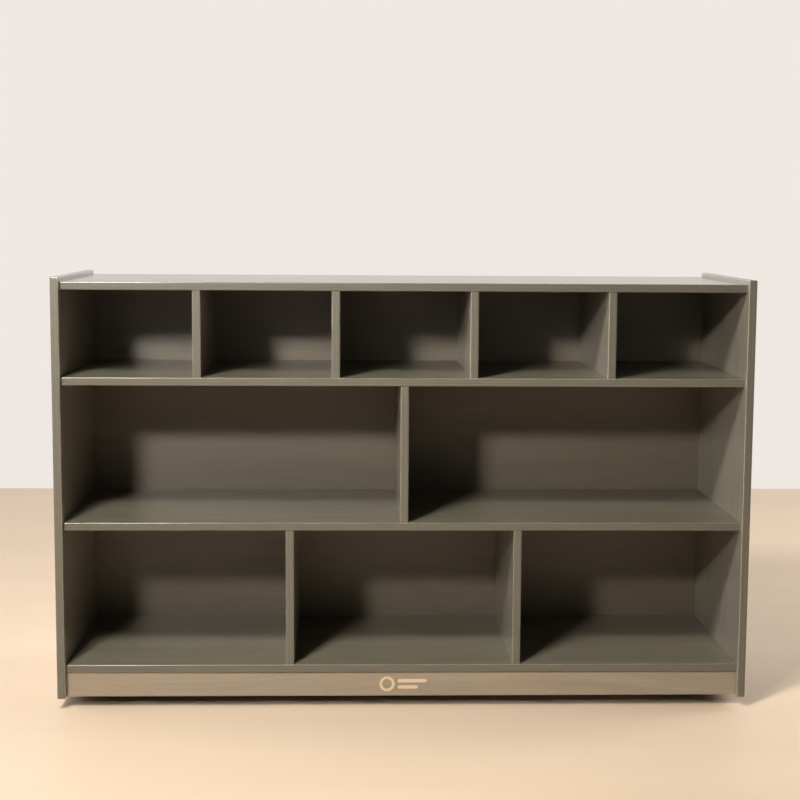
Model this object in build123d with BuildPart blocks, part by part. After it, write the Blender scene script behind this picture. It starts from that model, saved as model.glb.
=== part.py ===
from build123d import *
import os

# A low cubby storage cabinet: five small compartments over two wide ones over three, in birch
# plywood held by cam fittings and dowels, standing on four swivel castors behind its kick plates.
# Millimetres. +X is the cabinet's right seen from the front, +Y its back, +Z up. The origin is on
# the floor under the middle of the cabinet.

# ---- cabinet, outside sizes and heights ----
cabinet_width = 1219.2
cabinet_depth = 381.0
panel_thickness = 14.3
floor_gap = 20.0  # floor to the lower edges of the side panels and kick plates
castor_height = 63.8  # floor to the underside of the bottom panel
lower_row_height = 241.0  # clear height inside each row of compartments
middle_row_height = 241.0
upper_row_height = 151.0
side_rise = 8.0  # side panels stand this far above the top panel
edge_radius = 2.0  # easing of every exposed edge

# ---- cabinet, how the panels are set back ----
shelf_setback = 12.0  # side panels' front edges to the shelves' front edges
divider_setback = 14.0
kick_setback = 15.0
back_recess = 13.0  # side panels' rear edges to the back panel's rear face

# ---- compartments in each row ----
upper_row_dividers = 4
middle_row_dividers = 1
lower_row_dividers = 2

# ---- back panel and the grooves that hold its edges ----
back_thickness = 5.0
groove_depth = 6.0
groove_end_gap = 0.5
groove_side_gap = 0.2

# ---- cam fittings ----
fitting_inset = 37.0  # dividers' front edges and the back panel to the rows of fittings
cam_distance = 34.0  # joint face to the cam's centre
cam_diameter = 15.0
cam_height = 11.0
cam_sink = 0.2  # the cam's face lies this far under the panel's surface
cam_pocket_spare = 0.3  # free depth under the cam
cam_gap = 0.1  # radial gap between a fitting and its hole
cam_slot_width = 7.8
cam_cap_thickness = 3.2
recess_length = 8.0
recess_width = 1.6
recess_depth = 2.0
bolt_bore_diameter = 8.0
bolt_thread_diameter = 5.0
bolt_thread_length = 9.5
bolt_collar_diameter = 7.6
bolt_collar_length = 2.0
bolt_shank_diameter = 5.0
bolt_neck_diameter = 3.6
bolt_neck_length = 3.0
bolt_head_diameter = 6.8
bolt_head_length = 3.0
bolt_head_reach = 34.0  # joint face to the tip of the bolt's head

# ---- wood dowels ----
dowel_diameter = 8.0
dowel_in_face = 8.0
dowel_in_edge = 20.0
dowel_gap = 0.05  # radial gap between a dowel and its hole
dowel_end_gap = 1.0
dowel_chamfer = 1.0
dowel_offset = 32.0  # fitting row to dowel row
kick_dowel_count = 4
kick_dowel_spacing = 300.0

# ---- screws ----
back_screw_count = 6
back_screw_spacing = 210.0
back_screw_diameter = 3.5
back_screw_length = 20.0
back_screw_head_diameter = 7.0
screw_cone_angle = 90.0
castor_screw_diameter = 4.0
castor_screw_length = 12.0
castor_screw_head_diameter = 8.0
castor_screw_head_height = 2.2
screw_gap = 0.05  # radial gap between a screw and the wood around it
driver_recess_diameter = 3.0
driver_recess_depth = 1.2

# ---- castors ----
castor_side_gap = 60.0  # side panel's inner face to the swivel axis
castor_kick_gap = 55.0  # kick plate's inner face to the swivel axis
castor_trail = 19.0  # swivel axis to the axle
wheel_diameter = 50.0
wheel_width = 14.5
wheel_edge_radius = 3.0
wheel_gap = 0.5  # side gap between the hood's web and each wheel
wheel_dish_depth = 1.5
wheel_dish_outer = 19.0
wheel_dish_inner = 9.0
wheel_bore_depth = 12.0
plate_side = 42.0
plate_thickness = 2.0
plate_corner_radius = 5.0
plate_hole_spacing = 31.0
plate_hole_diameter = 4.6
kingpin_diameter = 8.0
kingpin_flange_diameter = 14.0
kingpin_flange_height = 1.2
kingpin_head_diameter = 11.0
kingpin_head_height = 2.0
swivel_end_gap = 0.4  # end play above the boss and under its shoulder
swivel_radial_gap = 0.05
swivel_head_gap = 0.5
boss_diameter = 18.0
boss_bottom = 34.0
web_width = 18.0
hood_wall = 1.6
hood_wheel_gap = 1.0
hood_lower_edge = 30.0
axle_diameter = 6.0
axle_boss_radius = 9.5
axle_radial_gap = 0.05
axle_end_gap = 1.0
neck_front = 9.0
neck_length = 21.0

# ---- places worked out from the sizes above ----
side_inner = cabinet_width / 2 - panel_thickness
inner_width = 2 * side_inner
front = -cabinet_depth / 2
rear = cabinet_depth / 2
shelf_front = front + shelf_setback
divider_front = front + divider_setback
back_rear_face = rear - back_recess
back_face = back_rear_face - back_thickness

bottom_z = castor_height
lower_shelf_z = bottom_z + panel_thickness + lower_row_height
upper_shelf_z = lower_shelf_z + panel_thickness + middle_row_height
top_z = upper_shelf_z + panel_thickness + upper_row_height
side_top = top_z + panel_thickness + side_rise

front_row = divider_front + fitting_inset
rear_row = back_face - fitting_inset
fitting_rows = (front_row, rear_row)
dowel_rows = (front_row + dowel_offset, rear_row - dowel_offset)

kick_front_y = front + kick_setback + panel_thickness / 2
kick_rear_y = back_face - panel_thickness / 2
kick_middle_z = (floor_gap + castor_height) / 2
cam_pocket_depth = cam_sink + cam_height + cam_pocket_spare

wheel_radius = wheel_diameter / 2
hood_inner_radius = wheel_radius + hood_wheel_gap
hood_outer_radius = hood_inner_radius + hood_wall
wheel_inner_x = web_width / 2 + wheel_gap
hood_width = 2 * (wheel_inner_x + wheel_width)
plate_bottom = castor_height - plate_thickness
flange_bottom = plate_bottom - kingpin_flange_height
boss_top = flange_bottom - swivel_end_gap
shoulder_depth = 2 * swivel_end_gap + kingpin_head_height
shoulder_z = boss_bottom + shoulder_depth

castor_x = side_inner - castor_side_gap
castor_front_y = kick_front_y + panel_thickness / 2 + castor_kick_gap
castor_rear_y = kick_rear_y - panel_thickness / 2 - castor_kick_gap
castor_places = {
    "front_left": (-castor_x, castor_front_y),
    "front_right": (castor_x, castor_front_y),
    "rear_left": (-castor_x, castor_rear_y),
    "rear_right": (castor_x, castor_rear_y),
}

left, right, forward, backward, up, down = (
    Vector(-1, 0, 0),
    Vector(1, 0, 0),
    Vector(0, -1, 0),
    Vector(0, 1, 0),
    Vector(0, 0, 1),
    Vector(0, 0, -1),
)
os.makedirs("parts", exist_ok=True)


def save(piece, label):
    """Names a finished piece and writes it under that name."""
    piece.part.label = label
    export_step(piece.part, f"parts/{label}.step")


# ---- joints between panels ----
# A joint is a plane on the face where two panels meet. Its Z runs into the panel whose edge meets
# the other's face, and its X points to the surface that the cam is let into.


def divider_centres(count):
    """X of evenly spaced dividers that leave equal compartments between the side panels."""
    pitch = (inner_width + panel_thickness) / (count + 1)
    return [(index - (count - 1) / 2) * pitch for index in range(count)]


def end_joints(side, panel_z, rows):
    """Joints between a horizontal panel's end and a side panel, where side is -1 or 1."""
    middle = panel_z + panel_thickness / 2
    return [Plane((side * side_inner, y, middle), x_dir=down, z_dir=left * side) for y in rows]


def divider_top_joints(centres, ceiling_z):
    """Joints between the dividers' upper edges and the panel above them."""
    return [Plane((x, y, ceiling_z), x_dir=left, z_dir=down) for x in centres for y in fitting_rows]


def divider_foot_joints(centres, floor_z):
    """Joints between the dividers' lower edges and the panel below them."""
    return [Plane((x, y, floor_z), x_dir=left, z_dir=up) for x in centres for y in dowel_rows]


def kick_end_joint(side, kick_y, inward):
    """Joint between a kick plate's end and a side panel."""
    return Plane((side * side_inner, kick_y, kick_middle_z), x_dir=inward, z_dir=left * side)


def kick_top_joints(kick_y):
    """Joints between a kick plate's upper edge and the bottom panel."""
    first = -(kick_dowel_count - 1) * kick_dowel_spacing / 2
    return [
        Plane((first + index * kick_dowel_spacing, kick_y, bottom_z), x_dir=right, z_dir=down)
        for index in range(kick_dowel_count)
    ]


def cam_pocket_place(joint):
    """Plane on the surface over the cam's centre, pointing out of the wood."""
    centre = joint.origin + joint.z_dir * cam_distance + joint.x_dir * (panel_thickness / 2)
    return Plane(centre, x_dir=joint.z_dir, z_dir=joint.x_dir)


def turned(joint):
    """The same joint seen from its other side, so that a hole goes into the edge."""
    return Plane(joint.origin, x_dir=joint.x_dir, z_dir=-joint.z_dir)


# Each step below is used inside the block of the panel that it cuts.


def cut_cam_pockets(joints):
    """A pocket for the cam in the surface, and a bore for its bolt from the edge."""
    for joint in joints:
        with Locations(cam_pocket_place(joint)):
            Hole(cam_diameter / 2, depth=cam_pocket_depth)
        with Locations(turned(joint)):
            Hole(bolt_bore_diameter / 2, depth=cam_distance)


def cut_bolt_pilots(joints):
    """A blind hole in the face for the thread of each cam bolt."""
    for joint in joints:
        with Locations(joint):
            Hole(bolt_thread_diameter / 2 + screw_gap, depth=bolt_thread_length)


def cut_dowel_edge_holes(joints):
    """A blind hole in the edge for each dowel."""
    for joint in joints:
        with Locations(turned(joint)):
            Hole(dowel_diameter / 2 + dowel_gap, depth=dowel_in_edge + dowel_end_gap)


def cut_dowel_face_holes(joints):
    """A blind hole in the face for each dowel."""
    for joint in joints:
        with Locations(joint):
            Hole(dowel_diameter / 2 + dowel_gap, depth=dowel_in_face)


upper_centres = divider_centres(upper_row_dividers)
middle_centres = divider_centres(middle_row_dividers)
lower_centres = divider_centres(lower_row_dividers)
panel_levels = (bottom_z, lower_shelf_z, upper_shelf_z, top_z)
kicks = {"kick_front": (kick_front_y, backward), "kick_rear": (kick_rear_y, forward)}

upper_top_joints = divider_top_joints(upper_centres, top_z)
middle_top_joints = divider_top_joints(middle_centres, upper_shelf_z)
lower_top_joints = divider_top_joints(lower_centres, lower_shelf_z)
upper_foot_joints = divider_foot_joints(upper_centres, upper_shelf_z + panel_thickness)
middle_foot_joints = divider_foot_joints(middle_centres, lower_shelf_z + panel_thickness)
lower_foot_joints = divider_foot_joints(lower_centres, bottom_z + panel_thickness)
kick_dowel_joints = [joint for y, inward in kicks.values() for joint in kick_top_joints(y)]

castor_screw_places = [
    Plane((x + dx * plate_hole_spacing / 2, y + dy * plate_hole_spacing / 2, plate_bottom), z_dir=down)
    for x, y in castor_places.values()
    for dx in (-1, 1)
    for dy in (-1, 1)
]


def side_cam_joints(side):
    """Every cam joint on one side panel: the panels' ends and the kick plates' ends."""
    ends = [joint for level in panel_levels for joint in end_joints(side, level, fitting_rows)]
    return ends + [kick_end_joint(side, y, inward) for y, inward in kicks.values()]


def side_dowel_joints(side):
    """Every dowel joint on one side panel."""
    return [joint for level in panel_levels for joint in end_joints(side, level, dowel_rows)]


# ---- side panels ----


def side_panel(side):
    """One side panel, with a groove for the back panel in its inner face."""
    with BuildPart() as panel:
        with BuildSketch(Plane.YZ.offset(side * side_inner)):
            with Locations((0, (floor_gap + side_top) / 2)):
                Rectangle(cabinet_depth, side_top - floor_gap)
        extrude(amount=side * panel_thickness)
        fillet(panel.edges(), edge_radius)
        with BuildSketch(Plane.YZ.offset(side * side_inner)):
            with Locations((back_face + back_thickness / 2, (bottom_z + top_z + panel_thickness) / 2)):
                Rectangle(
                    back_thickness + 2 * groove_side_gap,
                    top_z + panel_thickness - bottom_z,
                )
        extrude(amount=side * groove_depth, mode=Mode.SUBTRACT)
        cut_bolt_pilots(side_cam_joints(side))
        cut_dowel_face_holes(side_dowel_joints(side))
    return panel


side_left = side_panel(-1)
save(side_left, "side_left")
side_right = side_panel(1)
save(side_right, "side_right")

# ---- horizontal panels ----


def level_panel(level, rear_edge, groove_z=None, pilots=(), foot_holes=(), kick_holes=(), screws=()):
    """A panel between the sides at one level, with its front edges eased and its holes cut.

    rear_edge is the Y of its rear edge, groove_z the face that the back panel's groove is in.
    """
    with BuildPart() as panel:
        with BuildSketch(Plane.XY.offset(level)):
            with Locations((0, (shelf_front + rear_edge) / 2)):
                Rectangle(inner_width, rear_edge - shelf_front)
        extrude(amount=panel_thickness)
        fillet(panel.edges().filter_by(Axis.X).group_by(Axis.Y)[0], edge_radius)
        if groove_z is not None:
            inward = 1 if groove_z == level else -1
            with BuildSketch(Plane.XY.offset(groove_z)):
                with Locations((0, back_face + back_thickness / 2)):
                    Rectangle(inner_width, back_thickness + 2 * groove_side_gap)
            extrude(amount=inward * groove_depth, mode=Mode.SUBTRACT)
        for side in (-1, 1):
            cut_cam_pockets(end_joints(side, level, fitting_rows))
            cut_dowel_edge_holes(end_joints(side, level, dowel_rows))
        cut_bolt_pilots(pilots)
        cut_dowel_face_holes(foot_holes)
        cut_dowel_face_holes(kick_holes)
        for place in screws:
            with Locations(place):
                Hole(castor_screw_diameter / 2 + screw_gap, depth=castor_screw_length)
    return panel


def back_screw_places(level):
    """Planes on the back panel's rear face where screws reach a shelf's rear edge."""
    first = -(back_screw_count - 1) * back_screw_spacing / 2
    middle = level + panel_thickness / 2
    return [
        Plane((first + index * back_screw_spacing, back_rear_face, middle), x_dir=right, z_dir=backward)
        for index in range(back_screw_count)
    ]


back_screws_at = back_screw_places(lower_shelf_z) + back_screw_places(upper_shelf_z)


def shelf_panel(level, pilots, foot_holes):
    """A shelf that stops at the back panel, with pilot holes in its rear edge."""
    with BuildPart() as shelf:
        add(level_panel(level, back_face, pilots=pilots, foot_holes=foot_holes).part)
        for place in back_screw_places(level):
            with Locations(place):
                Hole(back_screw_diameter / 2 + screw_gap, depth=back_screw_length)
    return shelf


bottom_panel = level_panel(
    bottom_z,
    rear,
    groove_z=bottom_z + panel_thickness,
    foot_holes=lower_foot_joints,
    kick_holes=kick_dowel_joints,
    screws=castor_screw_places,
)
save(bottom_panel, "bottom_panel")
shelf_lower = shelf_panel(lower_shelf_z, lower_top_joints, middle_foot_joints)
save(shelf_lower, "shelf_lower")
shelf_upper = shelf_panel(upper_shelf_z, middle_top_joints, upper_foot_joints)
save(shelf_upper, "shelf_upper")
top_panel = level_panel(top_z, rear, groove_z=top_z, pilots=upper_top_joints)
save(top_panel, "top_panel")

# ---- dividers ----


def divider(centre, floor_z, ceiling_z):
    """An upright divider between two levels: cams at its top, dowels at its foot."""
    with BuildPart() as upright:
        with BuildSketch(Plane.XY.offset(floor_z)):
            with Locations((centre, (divider_front + back_face) / 2)):
                Rectangle(panel_thickness, back_face - divider_front)
        extrude(amount=ceiling_z - floor_z)
        fillet(upright.edges().filter_by(Axis.Z).group_by(Axis.Y)[0], edge_radius)
        cut_cam_pockets(divider_top_joints([centre], ceiling_z))
        cut_dowel_edge_holes(divider_foot_joints([centre], floor_z))
    return upright


divider_rows = {
    "divider_upper": (upper_centres, upper_shelf_z + panel_thickness, top_z),
    "divider_middle": (middle_centres, lower_shelf_z + panel_thickness, upper_shelf_z),
    "divider_lower": (lower_centres, bottom_z + panel_thickness, lower_shelf_z),
}
for row_name, (centres, floor_z, ceiling_z) in divider_rows.items():
    for number, centre in enumerate(centres, start=1):
        label = f"{row_name}_{number}" if len(centres) > 1 else row_name
        save(divider(centre, floor_z, ceiling_z), label)

# ---- back panel ----

back_reach = groove_depth - groove_end_gap
with BuildPart() as back_panel:
    with BuildSketch(Plane.XZ.offset(-back_face)):
        with Locations((0, (bottom_z + panel_thickness + top_z) / 2)):
            Rectangle(
                inner_width + 2 * back_reach,
                top_z - bottom_z - panel_thickness + 2 * back_reach,
            )
    extrude(amount=-back_thickness)
    with Locations(*back_screws_at):
        CounterSinkHole(
            back_screw_diameter / 2 + screw_gap,
            back_screw_head_diameter / 2 + screw_gap,
            depth=back_screw_length,
            counter_sink_angle=screw_cone_angle,
        )
save(back_panel, "back_panel")

# ---- kick plates ----


def kick_plate(kick_y, inward):
    """A board on edge under the bottom panel, with a cam at each end on its hidden face."""
    with BuildPart() as board:
        with BuildSketch(Plane.XY.offset(floor_gap)):
            with Locations((0, kick_y)):
                Rectangle(inner_width, panel_thickness)
        extrude(amount=bottom_z - floor_gap)
        fillet(board.edges().filter_by(Axis.X), edge_radius)
        cut_cam_pockets([kick_end_joint(side, kick_y, inward) for side in (-1, 1)])
        cut_dowel_edge_holes(kick_top_joints(kick_y))
    return board


for kick_name, (kick_y, inward) in kicks.items():
    save(kick_plate(kick_y, inward), kick_name)

# ---- cams, cam bolts and dowels ----
# Each fitting is drawn once in its joint's own frame and set at every joint.

cam_joints = side_cam_joints(-1) + side_cam_joints(1)
cam_joints += upper_top_joints + middle_top_joints + lower_top_joints
dowel_joints = side_dowel_joints(-1) + side_dowel_joints(1)
dowel_joints += upper_foot_joints + middle_foot_joints + lower_foot_joints + kick_dowel_joints

cam_face = panel_thickness / 2 - cam_sink
with BuildPart() as cam:
    with BuildSketch(Plane.YZ.offset(cam_face)):
        with Locations((0, cam_distance)):
            Circle(cam_diameter / 2 - cam_gap)
    extrude(amount=-cam_height)
    with BuildSketch(Plane.YZ.offset(cam_face - cam_cap_thickness)):
        with Locations((0, cam_distance - cam_diameter / 4)):
            Rectangle(cam_slot_width, cam_diameter / 2 + bolt_head_length)
    extrude(amount=-cam_height, mode=Mode.SUBTRACT)
    with BuildSketch(Plane.YZ.offset(cam_face)):
        with Locations((0, cam_distance)):
            Rectangle(recess_length, recess_width)
            Rectangle(recess_width, recess_length)
    extrude(amount=-recess_depth, mode=Mode.SUBTRACT)
with BuildPart() as cam_locks:
    with Locations(*cam_joints):
        add(cam.part)
save(cam_locks, "cam_locks")

collar_radius = bolt_collar_diameter / 2
head_start = bolt_head_reach - bolt_head_length
neck_start = head_start - bolt_neck_length
with BuildPart() as bolt:
    with BuildSketch(Plane.XZ):
        with BuildLine():
            Polyline(
                (0, -bolt_thread_length),
                (bolt_thread_diameter / 2, -bolt_thread_length),
                (bolt_thread_diameter / 2, 0),
                (collar_radius, 0),
                (collar_radius, bolt_collar_length),
                (bolt_shank_diameter / 2, bolt_collar_length),
                (bolt_shank_diameter / 2, neck_start),
                (bolt_neck_diameter / 2, neck_start),
                (bolt_neck_diameter / 2, head_start),
                (bolt_head_diameter / 2, head_start),
                (bolt_head_diameter / 2, bolt_head_reach),
                (0, bolt_head_reach),
                close=True,
            )
        make_face()
    revolve(axis=Axis.Z)
with BuildPart() as cam_bolts:
    with Locations(*cam_joints):
        add(bolt.part)
save(cam_bolts, "cam_bolts")

with BuildPart() as dowel:
    with BuildSketch(Plane.XY.offset(-dowel_in_face)):
        Circle(dowel_diameter / 2)
    extrude(amount=dowel_in_face + dowel_in_edge)
    chamfer(dowel.edges().filter_by(GeomType.CIRCLE), dowel_chamfer)
with BuildPart() as dowels:
    with Locations(*dowel_joints):
        add(dowel.part)
save(dowels, "dowels")

# ---- screws ----

head_radius = back_screw_head_diameter / 2
head_cone = head_radius - back_screw_diameter / 2
with BuildPart() as back_screw:
    with BuildSketch(Plane.XZ):
        with BuildLine():
            Polyline(
                (0, -driver_recess_depth),
                (driver_recess_diameter / 2, 0),
                (head_radius, 0),
                (back_screw_diameter / 2, -head_cone),
                (back_screw_diameter / 2, back_screw_diameter - back_screw_length),
                (0, -back_screw_length),
                close=True,
            )
        make_face()
    revolve(axis=Axis.Z)
with BuildPart() as back_screws:
    with Locations(*back_screws_at):
        add(back_screw.part)
save(back_screws, "back_screws")

pan_radius = castor_screw_head_diameter / 2
with BuildPart() as castor_screw:
    with BuildSketch(Plane.XZ):
        with BuildLine():
            Polyline(
                (0, castor_screw_head_height - driver_recess_depth),
                (driver_recess_diameter / 2, castor_screw_head_height),
                (pan_radius, castor_screw_head_height),
                (pan_radius, 0),
                (castor_screw_diameter / 2, 0),
                (castor_screw_diameter / 2, castor_screw_diameter - castor_screw_length),
                (0, -castor_screw_length),
                close=True,
            )
        make_face()
    revolve(axis=Axis.Z)
with BuildPart() as castor_screws:
    with Locations(*castor_screw_places):
        add(castor_screw.part)
save(castor_screws, "castor_screws")

# ---- castors ----
# Each castor hangs from a plate under the bottom panel and trails towards the cabinet's back.


def castor_plate(x, y):
    """Mounting plate with four screw holes and a hole for the kingpin."""
    with BuildPart() as plate:
        with BuildSketch(Plane.XY.offset(plate_bottom)):
            with Locations((x, y)):
                RectangleRounded(plate_side, plate_side, plate_corner_radius)
                Circle(kingpin_diameter / 2, mode=Mode.SUBTRACT)
                with GridLocations(plate_hole_spacing, plate_hole_spacing, 2, 2):
                    Circle(plate_hole_diameter / 2, mode=Mode.SUBTRACT)
        extrude(amount=plate_thickness)
    return plate


def castor_kingpin(x, y):
    """Pin riveted into the plate, with a flange above the boss and a head under its shoulder."""
    pin_radius = kingpin_diameter / 2
    flange_radius = kingpin_flange_diameter / 2
    rivet_radius = kingpin_head_diameter / 2
    rivet_top = shoulder_z - swivel_end_gap
    with BuildPart() as kingpin:
        with BuildSketch(Plane((x, y, 0), x_dir=right, z_dir=forward)):
            with BuildLine():
                Polyline(
                    (0, castor_height),
                    (pin_radius, castor_height),
                    (pin_radius, plate_bottom),
                    (flange_radius, plate_bottom),
                    (flange_radius, flange_bottom),
                    (pin_radius, flange_bottom),
                    (pin_radius, rivet_top),
                    (rivet_radius, rivet_top),
                    (rivet_radius, rivet_top - kingpin_head_height),
                    (0, rivet_top - kingpin_head_height),
                    close=True,
                )
            make_face()
        revolve(axis=Axis((x, y, 0), up))
    return kingpin


def castor_hood(x, y):
    """Swivelling body: a boss on the kingpin, a web between the wheels and a hood over them."""
    axle_place = (y + castor_trail, wheel_radius)
    below = 2 * hood_outer_radius
    with BuildPart() as hood:
        with BuildSketch(Plane.YZ.offset(x)):
            with Locations(axle_place):
                Circle(hood_outer_radius)
            with Locations((y + castor_trail, boss_bottom - below / 2)):
                Rectangle(2 * hood_outer_radius, below, mode=Mode.SUBTRACT)
            with Locations((y + neck_front + neck_length / 2, (wheel_radius + boss_bottom) / 2)):
                Rectangle(neck_length, boss_bottom - wheel_radius)
            with Locations(axle_place):
                Circle(axle_boss_radius)
        extrude(amount=web_width / 2, both=True)
        with BuildSketch(Plane.YZ.offset(x)):
            with Locations(axle_place):
                Circle(hood_outer_radius)
                Circle(hood_inner_radius, mode=Mode.SUBTRACT)
            with Locations((y + castor_trail, hood_lower_edge - below / 2)):
                Rectangle(2 * hood_outer_radius, below, mode=Mode.SUBTRACT)
        extrude(amount=hood_width / 2, both=True)
        with BuildSketch(Plane.XY.offset(boss_bottom)):
            with Locations((x, y)):
                Circle(boss_diameter / 2)
        extrude(amount=boss_top - boss_bottom)
        with Locations(Plane((x, y, boss_bottom), z_dir=down)):
            CounterBoreHole(
                kingpin_diameter / 2 + swivel_radial_gap,
                kingpin_head_diameter / 2 + swivel_head_gap,
                shoulder_depth,
            )
        with Locations(Plane((x, y + castor_trail, wheel_radius), z_dir=right)):
            Hole(axle_diameter / 2)
    return hood


def castor_axle(x, y):
    """Straight pin held in the web, with a wheel running on each end."""
    axle_length = hood_width - 2 * (wheel_width - wheel_bore_depth) - 2 * axle_end_gap
    with BuildPart() as axle:
        with BuildSketch(Plane.YZ.offset(x)):
            with Locations((y + castor_trail, wheel_radius)):
                Circle(axle_diameter / 2)
        extrude(amount=axle_length / 2, both=True)
    return axle


def castor_wheel(x, y, side):
    """One of a castor's two wheels: a blind bore inside, a dished ring outside."""
    inner = x + side * wheel_inner_x
    centre = (y + castor_trail, wheel_radius)
    with BuildPart() as wheel:
        with BuildSketch(Plane.YZ.offset(inner)):
            with Locations(centre):
                Circle(wheel_radius)
        extrude(amount=side * wheel_width)
        fillet(wheel.edges().filter_by(GeomType.CIRCLE), wheel_edge_radius)
        with BuildSketch(Plane.YZ.offset(inner + side * wheel_width)):
            with Locations(centre):
                Circle(wheel_dish_outer)
                Circle(wheel_dish_inner, mode=Mode.SUBTRACT)
        extrude(amount=-side * wheel_dish_depth, mode=Mode.SUBTRACT)
        with BuildSketch(Plane.YZ.offset(inner)):
            with Locations(centre):
                Circle(axle_diameter / 2 + axle_radial_gap)
        extrude(amount=side * wheel_bore_depth, mode=Mode.SUBTRACT)
    return wheel


for corner, (x, y) in castor_places.items():
    save(castor_plate(x, y), f"castor_{corner}_plate")
    save(castor_kingpin(x, y), f"castor_{corner}_kingpin")
    save(castor_hood(x, y), f"castor_{corner}_hood")
    save(castor_axle(x, y), f"castor_{corner}_axle")
    save(castor_wheel(x, y, -1), f"castor_{corner}_wheel_left")
    save(castor_wheel(x, y, 1), f"castor_{corner}_wheel_right")
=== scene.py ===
"""Looks of the ten-compartment cubby cabinet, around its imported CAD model, in metres."""

import math

import bmesh
import bpy
from mathutils import Matrix, Vector


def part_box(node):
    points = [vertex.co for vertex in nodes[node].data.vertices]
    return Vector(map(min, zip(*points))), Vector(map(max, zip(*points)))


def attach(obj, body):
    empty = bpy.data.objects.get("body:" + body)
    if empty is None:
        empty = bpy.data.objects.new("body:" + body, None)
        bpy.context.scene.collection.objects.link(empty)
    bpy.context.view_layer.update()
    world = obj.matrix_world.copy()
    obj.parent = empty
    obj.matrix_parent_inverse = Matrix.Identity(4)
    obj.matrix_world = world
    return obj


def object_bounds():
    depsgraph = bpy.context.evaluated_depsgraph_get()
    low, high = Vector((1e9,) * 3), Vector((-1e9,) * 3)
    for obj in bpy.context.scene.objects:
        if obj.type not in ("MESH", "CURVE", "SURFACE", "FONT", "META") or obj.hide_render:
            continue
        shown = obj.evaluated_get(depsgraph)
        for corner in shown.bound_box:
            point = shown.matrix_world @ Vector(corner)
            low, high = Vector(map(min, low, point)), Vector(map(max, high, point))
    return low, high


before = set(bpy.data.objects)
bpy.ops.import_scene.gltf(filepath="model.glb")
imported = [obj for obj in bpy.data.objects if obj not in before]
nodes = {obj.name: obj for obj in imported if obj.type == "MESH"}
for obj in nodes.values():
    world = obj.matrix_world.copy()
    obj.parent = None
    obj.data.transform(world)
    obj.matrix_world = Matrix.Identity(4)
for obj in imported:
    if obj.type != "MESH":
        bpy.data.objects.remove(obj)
cad_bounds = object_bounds()
low, high = cad_bounds
scene = bpy.context.scene
scene.view_settings.view_transform = "Standard"

# ---------------------------------------------------------------- camera

CAMERA_OFFSET_X = -0.0929  # from the cabinet's middle
CAMERA_DISTANCE = 2.7293  # in front of the side panels' front edges
CAMERA_HEIGHT = 0.8651
CAMERA_PITCH, CAMERA_YAW, CAMERA_ROLL = 6.539, 1.761, 0.346  # degrees: down, to the right, rolled
SENSOR_WIDTH, FOCAL_LENGTH = 36.0, 71.33  # millimetres


def make_camera():
    camera = bpy.data.objects.new("camera", bpy.data.cameras.new("camera"))
    scene.collection.objects.link(camera)
    camera.data.sensor_width = SENSOR_WIDTH
    camera.data.lens = FOCAL_LENGTH
    place = Matrix.Translation((CAMERA_OFFSET_X, low.y - CAMERA_DISTANCE, CAMERA_HEIGHT))
    turn = Matrix.Rotation(math.radians(-CAMERA_YAW), 4, "Z")
    tilt = Matrix.Rotation(math.radians(90 - CAMERA_PITCH), 4, "X")
    roll = Matrix.Rotation(math.radians(CAMERA_ROLL), 4, "Z")
    camera.matrix_world = place @ turn @ tilt @ roll
    scene.camera = camera


make_camera()

# ---------------------------------------------------------------- node tree helpers


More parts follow.
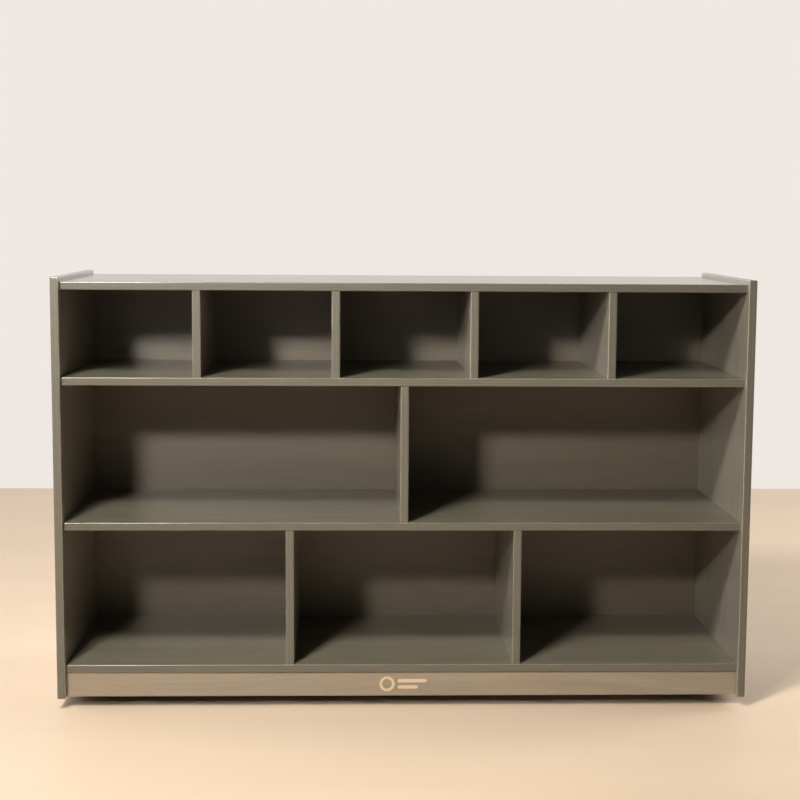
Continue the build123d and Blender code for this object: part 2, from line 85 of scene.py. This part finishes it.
class Tree:
    """A material's or group's node tree, with short ways to add and join nodes."""

    def __init__(self, tree):
        self.tree = tree
        self.tree.nodes.clear()

    def node(self, kind, **settings):
        made = self.tree.nodes.new(kind)
        for name, value in settings.items():
            setattr(made, name, value)
        return made

    def put(self, socket, value):
        """Joins value to the socket if it is an output, or else stores it there."""
        if isinstance(value, bpy.types.NodeSocket):
            self.tree.links.new(value, socket)
        else:
            socket.default_value = value

    def math(self, operation, first, second=0.0, clamp=False):
        made = self.node("ShaderNodeMath", operation=operation, use_clamp=clamp)
        self.put(made.inputs[0], first)
        self.put(made.inputs[1], second)
        return made.outputs[0]

    def vector(self, operation, first, second):
        made = self.node("ShaderNodeVectorMath", operation=operation)
        self.put(made.inputs[0], first)
        self.put(made.inputs[1], second)
        return made.outputs["Value" if operation == "DOT_PRODUCT" else "Vector"]

    def noise(self, place, scale, detail=4.0, roughness=0.55, distortion=0.0):
        made = self.node("ShaderNodeTexNoise")
        self.put(made.inputs["Vector"], place)
        self.put(made.inputs["Scale"], scale)
        self.put(made.inputs["Detail"], detail)
        self.put(made.inputs["Roughness"], roughness)
        self.put(made.inputs["Distortion"], distortion)
        return made.outputs[0]

    def spread(self, value, from_low, from_high, to_low=0.0, to_high=1.0):
        made = self.node("ShaderNodeMapRange")
        for socket, number in zip(made.inputs, (value, from_low, from_high, to_low, to_high)):
            self.put(socket, number)
        return made.outputs[0]

    def mix(self, amount, first, second, blend="MIX"):
        """Mixes two colours; sockets 6, 7 and 2 are a mix node's A, B and result for colours."""
        made = self.node("ShaderNodeMix", data_type="RGBA", blend_type=blend)
        self.put(made.inputs[0], amount)
        self.put(made.inputs[6], first)
        self.put(made.inputs[7], second)
        return made.outputs[2]

    def bump(self, height, distance, strength):
        made = self.node("ShaderNodeBump")
        self.put(made.inputs["Height"], height)
        self.put(made.inputs["Distance"], distance)
        self.put(made.inputs["Strength"], strength)
        return made.outputs["Normal"]

    def principled(self, **values):
        """A Principled shader joined to the output; names are its sockets with _ for a space."""
        shader = self.node("ShaderNodeBsdfPrincipled")
        for name, value in values.items():
            self.put(shader.inputs[name.replace("_", " ")], value)
        self.surface(shader.outputs[0])

    def surface(self, shaded):
        output = self.node("ShaderNodeOutputMaterial")
        self.tree.links.new(shaded, output.inputs[0])

    def one_sided(self, shaded):
        """The shader on the front of the surface, and nothing to see from behind."""
        clear = self.node("ShaderNodeBsdfTransparent")
        choose = self.node("ShaderNodeMixShader")
        self.put(choose.inputs[0], self.node("ShaderNodeNewGeometry").outputs["Backfacing"])
        self.put(choose.inputs[1], shaded)
        self.put(choose.inputs[2], clear.outputs[0])
        self.surface(choose.outputs[0])


def new_material(name):
    material = bpy.data.materials.new(name)
    material.use_nodes = True
    return material, Tree(material.node_tree)


def dress(node_name, material):
    """Gives every material slot of a CAD node the same material."""
    for slot in nodes[node_name].material_slots:
        slot.material = material


def grey(value):
    return (value, value, value, 1)


# ---------------------------------------------------------------- grey-washed birch plywood

X_AXIS, Y_AXIS, Z_AXIS = Vector((1, 0, 0)), Vector((0, 1, 0)), Vector((0, 0, 1))
# The shelves, uprights, small dividers, kick plate and front edges are one grey-washed birch, but each
# is given its own colour to stand in for how the light falls on it: painted light and shade. The
# uprights and small dividers are painted lighter, the front edges darker, and the kick plate lighter and
# warmer as painted floor bounce.
SHELF_COLOUR = (0.127, 0.118, 0.087, 1)
UPRIGHT_COLOUR = (0.265, 0.245, 0.198, 1)
SMALL_DIVIDER_COLOUR = (0.345, 0.320, 0.262, 1)
BACK_COLOUR = (0.117, 0.091, 0.057, 1)
KICK_COLOUR = (0.258, 0.212, 0.152, 1)
EDGE_COLOUR = (0.092, 0.085, 0.063, 1)
PLY_LAYER = 0.0026  # thickness of one veneer

# how often each kind of figure repeats in a metre: along the grain, across it and through the board
BEND_SCALE = (1.1, 3.0, 3.0)
FIGURE_SCALE = (1.4, 16.0, 16.0)
STREAK_SCALE = (9.0, 330.0, 330.0)
PORE_SCALE = (95.0, 1500.0, 1500.0)
EDGE_FIBRE_SCALE = (14.0, 14.0, 900.0)
CLOUD_SCALE, SCUFF_SCALE = 5.0, 60.0
GRAIN_BEND = 0.12  # how far the grain wanders to the side
WARM_CLOUD = (1.09, 0.98, 0.90, 1)
# lighter colour on the eased edges: the wash rubbed thin and a painted highlight
RUBBED_AND_HIGHLIGHT = (1.9, 1.85, 1.75, 1)
FACE_ROUGHNESS, EDGE_ROUGHNESS, COAT_ROUGHNESS = 0.45, 0.52, 0.20
GRAIN_RELIEF = 0.0003
EDGE_FACING, FACE_FACING = 0.55, 0.85  # how squarely a point faces through the board: edge, face
SHARP, EASED = 0.995, 0.80  # how square to the board's axes a normal is: flat face, eased edge


def make_wash_group():
    """How the grey wash varies round a board's own colour, from its grain, across and through places,
    with a painted highlight along the eased edges.
    """
    group = bpy.data.node_groups.new("grey_wash", "ShaderNodeTree")
    number, vector, colour = "NodeSocketFloat", "NodeSocketVector", "NodeSocketColor"
    for name, kind in (("Board", vector), ("Facing", number), ("Round", number)):
        group.interface.new_socket(name, in_out="INPUT", socket_type=kind)
    for name, kind in (("Tone", colour), ("Roughness", number), ("Height", number)):
        group.interface.new_socket(name, in_out="OUTPUT", socket_type=kind)
    t = Tree(group)
    given = t.node("NodeGroupInput")
    board, facing, rounded = given.outputs[0], given.outputs[1], given.outputs[2]

    # long soft figure, fine streaks and short pores, all stretched along the grain
    bend = t.noise(t.vector("MULTIPLY", board, BEND_SCALE), 1.0, detail=2.0)
    sideways = t.node("ShaderNodeCombineXYZ")
    t.put(sideways.inputs[1], t.math("MULTIPLY", t.math("SUBTRACT", bend, 0.5), GRAIN_BEND))
    flow = t.vector("ADD", board, sideways.outputs[0])
    long_flow = t.vector("MULTIPLY", flow, FIGURE_SCALE)
    figure = t.noise(long_flow, 1.0, detail=5.0, roughness=0.6, distortion=0.6)
    streak = t.noise(t.vector("MULTIPLY", flow, STREAK_SCALE), 1.0, detail=4.0, roughness=0.7)
    pore = t.noise(t.vector("MULTIPLY", flow, PORE_SCALE), 1.0, detail=1.0)
    pores = t.spread(pore, 0.60, 0.74)
    cloud = t.noise(board, CLOUD_SCALE, detail=3.0)

    tone = t.mix(t.spread(figure, 0.30, 0.70), grey(0.88), grey(1.17))
    tone = t.mix(t.spread(cloud, 0.42, 0.75, 0.0, 0.6), tone, WARM_CLOUD)
    tone = t.mix(t.spread(streak, 0.42, 0.78, 0.0, 0.6), tone, grey(0.70))
    tone = t.mix(t.math("MULTIPLY", pores, 0.45), tone, grey(0.60))

    # on the edges the veneers show as thin lines that run round the board
    parts = t.node("ShaderNodeSeparateXYZ")
    t.put(parts.inputs[0], board)
    wave = t.math("SINE", t.math("MULTIPLY", parts.outputs[2], math.pi / PLY_LAYER))
    fibre = t.noise(t.vector("MULTIPLY", board, EDGE_FIBRE_SCALE), 1.0, detail=3.0, roughness=0.65)
    layers = t.math("ADD", t.math("MULTIPLY", wave, 0.22), fibre)
    edge_tone = t.mix(t.spread(layers, 0.25, 0.85), grey(0.84), grey(1.16))
    tone = t.mix(facing, edge_tone, tone)

    # the eased edges are painted lighter: partly the wash rubbed thin there, partly a painted highlight
    # along them
    scuff = t.noise(board, SCUFF_SCALE, detail=4.0, roughness=0.7)
    rub_and_highlight = t.math("MULTIPLY", rounded, t.spread(scuff, 0.35, 0.65, 0.35, 1.0), clamp=True)
    tone = t.mix(t.math("MULTIPLY", rub_and_highlight, 0.7), tone, RUBBED_AND_HIGHLIGHT)

    uneven = t.math("ADD", t.spread(streak, 0.3, 0.7, -0.05, 0.05), t.math("MULTIPLY", pores, 0.08))
    roughness = t.math("ADD", t.spread(facing, 0.0, 1.0, EDGE_ROUGHNESS, FACE_ROUGHNESS), uneven)
    height = t.math("SUBTRACT", t.math("MULTIPLY", streak, 0.45), t.math("MULTIPLY", pores, 0.55))
    result = t.node("NodeGroupOutput")
    t.put(result.inputs[0], tone)
    t.put(result.inputs[1], roughness)
    t.put(result.inputs[2], height)
    return group


WASH = make_wash_group()


def board_material(name, colour, painted_light_scale, gloss, grain, across, through, shift):
    """Wood for one board: three axes say how its grain lies, and shift moves it to its own veneer."""
    material, t = new_material(name)
    place = t.node("ShaderNodeTexCoord")
    board = t.node("ShaderNodeCombineXYZ")
    for socket, axis in zip(board.inputs, (grain, across, through)):
        t.put(socket, t.vector("DOT_PRODUCT", place.outputs["Object"], tuple(axis)))
    moved = t.vector("ADD", board.outputs[0], shift)
    turned = [
        t.math("ABSOLUTE", t.vector("DOT_PRODUCT", place.outputs["Normal"], tuple(axis)))
        for axis in (grain, across, through)
    ]
    facing = t.spread(turned[2], EDGE_FACING, FACE_FACING)
    flattest = t.math("MAXIMUM", t.math("MAXIMUM", turned[0], turned[1]), turned[2])
    wash = t.node("ShaderNodeGroup", node_tree=WASH)
    t.put(wash.inputs["Board"], moved)
    t.put(wash.inputs["Facing"], facing)
    t.put(wash.inputs["Round"], t.spread(flattest, SHARP, EASED))
    # each board is painted lighter or darker by its own scale, standing in for how the light falls on
    # it: painted light and shade
    tone = t.mix(1.0, wash.outputs["Tone"], grey(painted_light_scale), "MULTIPLY")
    t.principled(
        Base_Color=t.mix(1.0, tone, t.mix(facing, EDGE_COLOUR, colour), "MULTIPLY"),
        Roughness=wash.outputs["Roughness"],
        Coat_Roughness=COAT_ROUGHNESS,
        **gloss,
        Normal=t.bump(wash.outputs["Height"], GRAIN_RELIEF, 0.5),
    )
    return material


LEVEL = (X_AXIS, Y_AXIS, Z_AXIS)  # grain, across, through
UPRIGHT = (Z_AXIS, Y_AXIS, X_AXIS)
ON_EDGE = (X_AXIS, Z_AXIS, Y_AXIS)
BRUSHED = {"Specular_IOR_Level": 0.5, "Coat_Weight": 1.0}
SHELF_COAT = {"Specular_IOR_Level": 0.15, "Coat_Weight": 0.65}
SPRAYED = {"Specular_IOR_Level": 0.95, "Coat_Weight": 0.1}  # the thin back has no brushed varnish
BOARDS = {  # colour, how much lighter or darker the board is painted to stand in for the light on it, gloss, how its grain lies
    "top_panel": (SHELF_COLOUR, 0.80, BRUSHED, LEVEL),
    "shelf_upper": (SHELF_COLOUR, 1.15, SHELF_COAT, LEVEL),
    "shelf_lower": (SHELF_COLOUR, 1.12, SHELF_COAT, LEVEL),
    "bottom_panel": (SHELF_COLOUR, 1.28, SHELF_COAT, LEVEL),
    "side_left": (UPRIGHT_COLOUR, 1.08, BRUSHED, UPRIGHT),
    "side_right": (UPRIGHT_COLOUR, 1.0, BRUSHED, UPRIGHT),
    "back_panel": (BACK_COLOUR, 1.0, SPRAYED, ON_EDGE),
    "kick_front": (KICK_COLOUR, 1.0, BRUSHED, ON_EDGE),
    "kick_rear": (KICK_COLOUR, 1.0, BRUSHED, ON_EDGE),
}
for name in nodes:
    if name.startswith("divider_upper"):
        BOARDS[name] = (SMALL_DIVIDER_COLOUR, 0.92, BRUSHED, UPRIGHT)
    elif name.startswith("divider_"):
        BOARDS[name] = (UPRIGHT_COLOUR, 1.0, BRUSHED, UPRIGHT)


def centre_of(name):
    box_low, box_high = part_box(name)
    return (box_low + box_high) / 2


def dress_boards():
    for index, (name, (colour, painted_light_scale, gloss, axes)) in enumerate(sorted(BOARDS.items())):
        through = centre_of(name).dot(axes[2])
        shift = (3.7 * index, 1.9 * index, -through)
        dress(name, board_material(f"wood_{name}", colour, painted_light_scale, gloss, *axes, shift))


dress_boards()

# ---------------------------------------------------------------- metal and plastic

ZINC, STEEL, CAST_ZINC = (0.52, 0.53, 0.52), (0.60, 0.60, 0.58), (0.40, 0.40, 0.39)
HOOD_BLACK, WHEEL_BLACK = (0.018, 0.018, 0.019), (0.030, 0.030, 0.032)
BEECH_DARK, BEECH_PALE = (0.46, 0.30, 0.17, 1), (0.68, 0.50, 0.32, 1)
SCRATCH_STRETCH = (1.0, 14.0, 1.0)
TARNISH = 0.72  # how dark the metal's dull clouds are
METAL_CLOUD_SCALE, NYLON_GRAIN_SCALE, DUST_SCALE, BEECH_SCALE = 140.0, 2600.0, 90.0, 420.0


def metal_material(name, colour, roughness, grain_scale, speckle=0.0):
    """Zinc-plated, cast or plain metal: cloudy tint, fine scratches and uneven gloss."""
    material, t = new_material(name)
    place = t.node("ShaderNodeTexCoord").outputs["Object"]
    cloud = t.noise(place, METAL_CLOUD_SCALE, detail=4.0, roughness=0.6)
    scratch = t.noise(t.vector("MULTIPLY", place, SCRATCH_STRETCH), grain_scale, detail=3.0)
    dark = tuple(c * TARNISH for c in colour) + (1,)
    t.principled(
        Base_Color=t.mix(t.spread(cloud, 0.3, 0.7), dark, colour + (1,)),
        Metallic=1.0,
        Roughness=t.spread(scratch, 0.3, 0.7, roughness - 0.06, roughness + 0.10),
        Normal=t.bump(t.math("ADD", scratch, t.math("MULTIPLY", cloud, speckle)), 0.0001, 0.5),
    )
    return material


def nylon_material(name, colour, roughness, dust):
    """Moulded black nylon: fine spark-eroded texture, dulled by dust."""
    material, t = new_material(name)
    place = t.node("ShaderNodeTexCoord").outputs["Object"]
    grain = t.noise(place, NYLON_GRAIN_SCALE, detail=2.0)
    film = t.noise(place, DUST_SCALE, detail=5.0, roughness=0.65)
    pale = tuple(c + dust for c in colour) + (1,)
    t.principled(
        Base_Color=t.mix(t.spread(film, 0.40, 0.75), colour + (1,), pale),
        Roughness=t.spread(film, 0.3, 0.7, roughness, roughness + 0.18),
        Normal=t.bump(grain, 0.00008, 0.6),
    )
    return material


def dowel_material(name):
    """Plain beech with a fine fleck."""
    material, t = new_material(name)
    place = t.node("ShaderNodeTexCoord").outputs["Object"]
    grain = t.noise(place, BEECH_SCALE, detail=4.0)
    t.principled(
        Base_Color=t.mix(grain, BEECH_DARK, BEECH_PALE),
        Roughness=t.spread(grain, 0.3, 0.7, 0.55, 0.7),
        Normal=t.bump(grain, 0.0002, 0.5),
    )
    return material


def dress_hardware():
    """Gives each fitting its material; a castor's nodes are found by the part that they name."""
    looks = {
        "cam_locks": metal_material("cast_zinc", CAST_ZINC, 0.42, 900.0, speckle=1.0),
        "cam_bolts": metal_material("bolt_steel", STEEL, 0.28, 700.0),
        "back_screws": metal_material("back_screw_zinc", ZINC, 0.30, 800.0),
        "castor_screws": metal_material("castor_screw_zinc", ZINC, 0.30, 800.0),
        "plate": metal_material("plate_zinc", ZINC, 0.32, 300.0),
        "kingpin": metal_material("pin_steel", STEEL, 0.26, 700.0),
        "axle": metal_material("axle_steel", STEEL, 0.26, 700.0),
        "dowels": dowel_material("beech"),
        "hood": nylon_material("hood_nylon", HOOD_BLACK, 0.38, dust=0.03),
        "wheel": nylon_material("wheel_nylon", WHEEL_BLACK, 0.45, dust=0.08),
    }
    for name in nodes:
        for part, material in looks.items():
            if name == part or (name.startswith("castor_") and f"_{part}" in name):
                dress(name, material)


dress_hardware()

# ---------------------------------------------------------------- printed mark on the kick plate

MARK_COLOUR = (0.58, 0.44, 0.29, 1)
MARK_THICKNESS = 0.00025
RING_OUTER, RING_INNER = 0.0135, 0.0088
BAR_HEIGHT, BAR_GAP = 0.0062, 0.0052
BAR_LENGTHS = (0.052, 0.036)
MARK_STEPS = 48  # in a full turn
INK_WEAR_SCALE = 900.0


def mark_material():
    """Screen-printed cream ink, a little worn so that the wash shows through in specks."""
    material, t = new_material("printed_mark")
    place = t.node("ShaderNodeTexCoord").outputs["Object"]
    wear = t.noise(place, INK_WEAR_SCALE, detail=4.0, roughness=0.7)
    t.principled(
        Base_Color=t.mix(t.spread(wear, 0.58, 0.72, 0.0, 0.8), MARK_COLOUR, KICK_COLOUR),
        Roughness=t.spread(wear, 0.3, 0.7, 0.45, 0.60),
        Normal=t.bump(wear, 0.00008, 0.5),
    )
    return material


def arc_points(centre_x, centre_z, radius, start, end, steps):
    angles = [start + (end - start) * i / steps for i in range(steps + 1)]
    return [(centre_x + radius * math.cos(a), centre_z + radius * math.sin(a)) for a in angles]


def bar_outline(left, bottom, length, height):
    """A bar with round ends, as a closed outline."""
    radius = height / 2
    middle = bottom + radius
    up, down, steps = math.pi / 2, -math.pi / 2, MARK_STEPS // 4
    right_end = arc_points(left + length - radius, middle, radius, down, up, steps)
    left_end = arc_points(left + radius, middle, radius, up, up + math.pi, steps)
    return right_end + left_end


def printed_mesh(outlines, face_y):
    """Thin ink over each outline, or between the two outlines of a pair."""
    build = bmesh.new()
    for outline in outlines:
        if len(outline) == 2:
            outer, inner = ([build.verts.new((x, face_y, z)) for x, z in ring] for ring in outline)
            for i in range(len(outer)):
                j = (i + 1) % len(outer)
                build.faces.new((outer[i], outer[j], inner[j], inner[i]))
        else:
            build.faces.new([build.verts.new((x, face_y, z)) for x, z in outline])
    faces = build.faces[:]
    bmesh.ops.recalc_face_normals(build, faces=faces)
    ink = bmesh.ops.extrude_face_region(build, geom=faces)
    lifted = [item for item in ink["geom"] if isinstance(item, bmesh.types.BMVert)]
    bmesh.ops.translate(build, verts=lifted, vec=(0, -MARK_THICKNESS, 0))
    bmesh.ops.recalc_face_normals(build, faces=build.faces[:])
    mesh = bpy.data.meshes.new("printed_mark")
    build.to_mesh(mesh)
    build.free()
    return mesh


def make_mark():
    """A plain ring and two plain bars, in the middle of the front kick plate."""
    kick_low, kick_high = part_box("kick_front")
    middle_z = (kick_low.z + kick_high.z) / 2
    width = 2 * RING_OUTER + BAR_GAP + BAR_LENGTHS[0]
    left = (kick_low.x + kick_high.x) / 2 - width / 2
    ring_x = left + RING_OUTER
    bars_x = ring_x + RING_OUTER + BAR_GAP
    full_turn = 2 * math.pi * (MARK_STEPS - 1) / MARK_STEPS
    ring = [
        arc_points(ring_x, middle_z, radius, 0, full_turn, MARK_STEPS - 1)
        for radius in (RING_OUTER, RING_INNER)
    ]
    upper = bar_outline(bars_x, middle_z + BAR_GAP / 2, BAR_LENGTHS[0], BAR_HEIGHT)
    lower = bar_outline(bars_x, middle_z - BAR_GAP / 2 - BAR_HEIGHT, BAR_LENGTHS[1], BAR_HEIGHT)
    mark = bpy.data.objects.new("printed_mark", printed_mesh([ring, upper, lower], kick_low.y))
    scene.collection.objects.link(mark)
    mark.data.materials.append(mark_material())
    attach(mark, "cabinet")


make_mark()

# ---------------------------------------------------------------- stage and light

FLOOR_COLOUR = (0.74, 0.59, 0.45, 1)
FLOOR_WORN = (0.64, 0.49, 0.36, 1)
WALL_COLOUR = (0.86, 0.81, 0.77, 1)
BACK_WALL = 1.93  # behind the cabinet's back
ROOM_FRONT, ROOM_SIDE, ROOM_HEIGHT = 5.5, 4.5, 4.0
BACK_GLOW, ROOM_GLOW = 1.0, 0.85
WORN_SCALE = (0.5, 3.0, 1.0)
FLOOR_ROUGHNESS = 0.5
LIGHT_COLOUR = (1.0, 0.96, 0.90)
ROOM_AIR, ROOM_AIR_STRENGTH = (1.0, 0.85, 0.68, 1), 0.04
FILL_SIDE, FILL_BEHIND = 3.2, 0.8  # from the cabinet's middle
FILL_HEIGHT, FILL_SIZE = 1.8, 1.6


def stage_plane(name, corners, material, lights=True):
    mesh = bpy.data.meshes.new(name)
    mesh.from_pydata(corners, [], [(0, 1, 2, 3)])
    plane = bpy.data.objects.new(name, mesh)
    scene.collection.objects.link(plane)
    mesh.materials.append(material)
    plane.visible_diffuse = plane.visible_glossy = lights


def floor_material():
    """A pale matt floor, faintly worn, and clear from below, so that it doesn't hide the underside."""
    material, t = new_material("floor")
    place = t.node("ShaderNodeTexCoord").outputs["Object"]
    drift = t.noise(t.vector("MULTIPLY", place, WORN_SCALE), 1.0, detail=3.0)
    worn = t.spread(drift, 0.35, 0.65, 0.0, 0.35)
    matt = t.node("ShaderNodeBsdfPrincipled")
    t.put(matt.inputs["Base Color"], t.mix(worn, FLOOR_COLOUR, FLOOR_WORN))
    t.put(matt.inputs["Roughness"], FLOOR_ROUGHNESS)
    t.one_sided(matt.outputs[0])
    return material


def wall_material(name, glow_strength):
    """Glows towards the room, and is clear from behind, so that no wall hides the cabinet."""
    material, t = new_material(name)
    glow = t.node("ShaderNodeEmission")
    t.put(glow.inputs[0], WALL_COLOUR)
    t.put(glow.inputs[1], glow_strength)
    t.one_sided(glow.outputs[0])
    return material


def make_stage():
    """A floor and four glowing walls; only the back wall and the floor light the cabinet."""
    back, front, side = high.y + BACK_WALL, -ROOM_FRONT, ROOM_SIDE
    ground, top = low.z, ROOM_HEIGHT
    floor = [(-side, front, ground), (side, front, ground), (side, back, ground), (-side, back, ground)]
    stage_plane("floor", floor, floor_material())
    walls = {
        "back_wall": ((-side, back), (side, back), BACK_GLOW),
        "right_wall": ((side, back), (side, front), ROOM_GLOW),
        "front_wall": ((side, front), (-side, front), ROOM_GLOW),
        "left_wall": ((-side, front), (-side, back), ROOM_GLOW),
    }
    for name, ((x0, y0), (x1, y1), glow_strength) in walls.items():
        corners = [(x0, y0, ground), (x1, y1, ground), (x1, y1, top), (x0, y0, top)]
        stage_plane(name, corners, wall_material(name, glow_strength), lights=name == "back_wall")


def area_light(name, place, target, width, height, power, beam=180.0):
    """A rectangular lamp that faces its target: power in watts, beam as its full angle in degrees."""
    lamp = bpy.data.lights.new(name, "AREA")
    lamp.shape = "RECTANGLE"
    lamp.size, lamp.size_y = width, height
    lamp.energy = power
    lamp.spread = math.radians(beam)
    lamp.color = LIGHT_COLOUR
    light = bpy.data.objects.new(name, lamp)
    scene.collection.objects.link(light)
    light.location = place
    light.rotation_euler = (Vector(target) - Vector(place)).to_track_quat("-Z", "Y").to_euler()
    light.visible_camera = False


def make_lights():
    middle = (low + high) / 2
    window, window_aim = (-1.24, low.y - 2.60, 1.60), (-0.05, high.y, 0.93)
    area_light("window", window, window_aim, width=0.30, height=0.20, power=9.0, beam=54.0)
    area_light("high_window", (-0.87, low.y - 1.50, 2.23), middle, width=0.35, height=0.35, power=78.0)
    area_light("room_bounce", (0, -ROOM_FRONT + 0.1, 1.25), middle, width=5.0, height=2.5, power=4.0)
    # the fills stand behind the cabinet, so that they don't reach into the compartments
    for name, end_x, side, power in (("right_fill", high.x, 1, 70.0), ("left_fill", low.x, -1, 35.0)):
        place = (side * FILL_SIDE, FILL_BEHIND, FILL_HEIGHT)
        area_light(name, place, (end_x, middle.y, middle.z), FILL_SIZE, FILL_SIZE, power)
    world = bpy.data.worlds.new("room")
    world.use_nodes = True
    scene.world = world
    air = world.node_tree.nodes["Background"]
    air.inputs["Color"].default_value = ROOM_AIR
    air.inputs["Strength"].default_value = ROOM_AIR_STRENGTH


make_stage()
make_lights()
